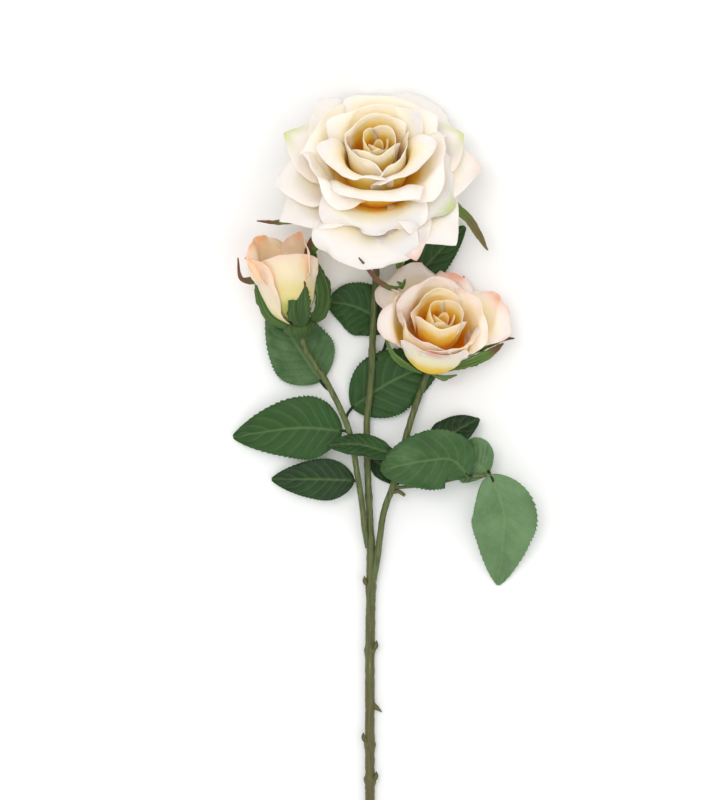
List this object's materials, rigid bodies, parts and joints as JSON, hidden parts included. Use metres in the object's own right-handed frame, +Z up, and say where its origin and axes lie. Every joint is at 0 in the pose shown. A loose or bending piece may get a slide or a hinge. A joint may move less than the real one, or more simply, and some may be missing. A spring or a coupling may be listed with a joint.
{
  "type": "cut rose",
  "caption": "Cut spray rose with an open cream bloom, a half-open side bloom, a bud and serrated leaves on one woody stem, lying down.",
  "frame": {"origin": "on the surface it lies on, under the middle of the spray's bounding box", "axes": "+Y along the stem from the cut end towards the open bloom, +X to the half-open bloom's side, +Z up from the surface"},
  "size_m": [0.153, 0.403, 0.0632],
  "materials": {
    "open_rose_petal": "soft matte, warm yellow at the base",
    "side_rose_petal": "soft matte, orange at the base, pink at the tips",
    "bud_petal": "soft matte, peach at the rim, green at the foot",
    "sepal": "matte green, brown at the tips",
    "leaf": "satin, veined, with a greyish bloom",
    "stem": "matte olive green, browner at the cut end"
  },
  "bodies": {
    "root": {"bud_calyx": "sepal", "bud_heart": "bud_petal", "bud_petal_01": "bud_petal", "bud_petal_02": "bud_petal", "bud_petal_03": "bud_petal", "bud_petal_04": "bud_petal", "bud_stalk": "stem", "leaf_behind_bud": "leaf", "leaf_behind_stem": "leaf", "leaf_centre": "leaf", "leaf_dark": "leaf", "leaf_drooping": "leaf", "leaf_left": "leaf", "leaf_lower_left": "leaf", "leaf_right": "leaf", "leaf_right_upper": "leaf", "leaf_small": "leaf", "leaf_under_rose": "leaf", "leaf_upper": "leaf", "open_rose_calyx": "sepal", "open_rose_heart": "open_rose_petal", "open_rose_petal_01": "open_rose_petal", "open_rose_petal_02": "open_rose_petal", "open_rose_petal_03": "open_rose_petal", "open_rose_petal_04": "open_rose_petal", "open_rose_petal_05": "open_rose_petal", "open_rose_petal_06": "open_rose_petal", "open_rose_petal_07": "open_rose_petal", "open_rose_petal_08": "open_rose_petal", "open_rose_petal_09": "open_rose_petal", "open_rose_petal_10": "open_rose_petal", "open_rose_petal_11": "open_rose_petal", "open_rose_petal_12": "open_rose_petal", "open_rose_petal_13": "open_rose_petal", "open_rose_petal_14": "open_rose_petal", "open_rose_petal_15": "open_rose_petal", "open_rose_petal_16": "open_rose_petal", "open_rose_petal_17": "open_rose_petal", "open_rose_petal_18": "open_rose_petal", "open_rose_petal_19": "open_rose_petal", "open_rose_petal_20": "open_rose_petal", "open_rose_petal_21": "open_rose_petal", "open_rose_petal_22": "open_rose_petal", "open_rose_petal_23": "open_rose_petal", "open_rose_petal_24": "open_rose_petal", "rachis": "leaf", "side_rose_calyx": "sepal", "side_rose_heart": "side_rose_petal", "side_rose_petal_01": "side_rose_petal", "side_rose_petal_02": "side_rose_petal", "side_rose_petal_03": "side_rose_petal", "side_rose_petal_04": "side_rose_petal", "side_rose_petal_05": "side_rose_petal", "side_rose_petal_06": "side_rose_petal", "side_rose_petal_07": "side_rose_petal", "side_rose_petal_08": "side_rose_petal", "side_rose_petal_09": "side_rose_petal", "side_rose_petal_10": "side_rose_petal", "side_stalk": "stem", "stem": "stem"}
  },
  "joints": []
}
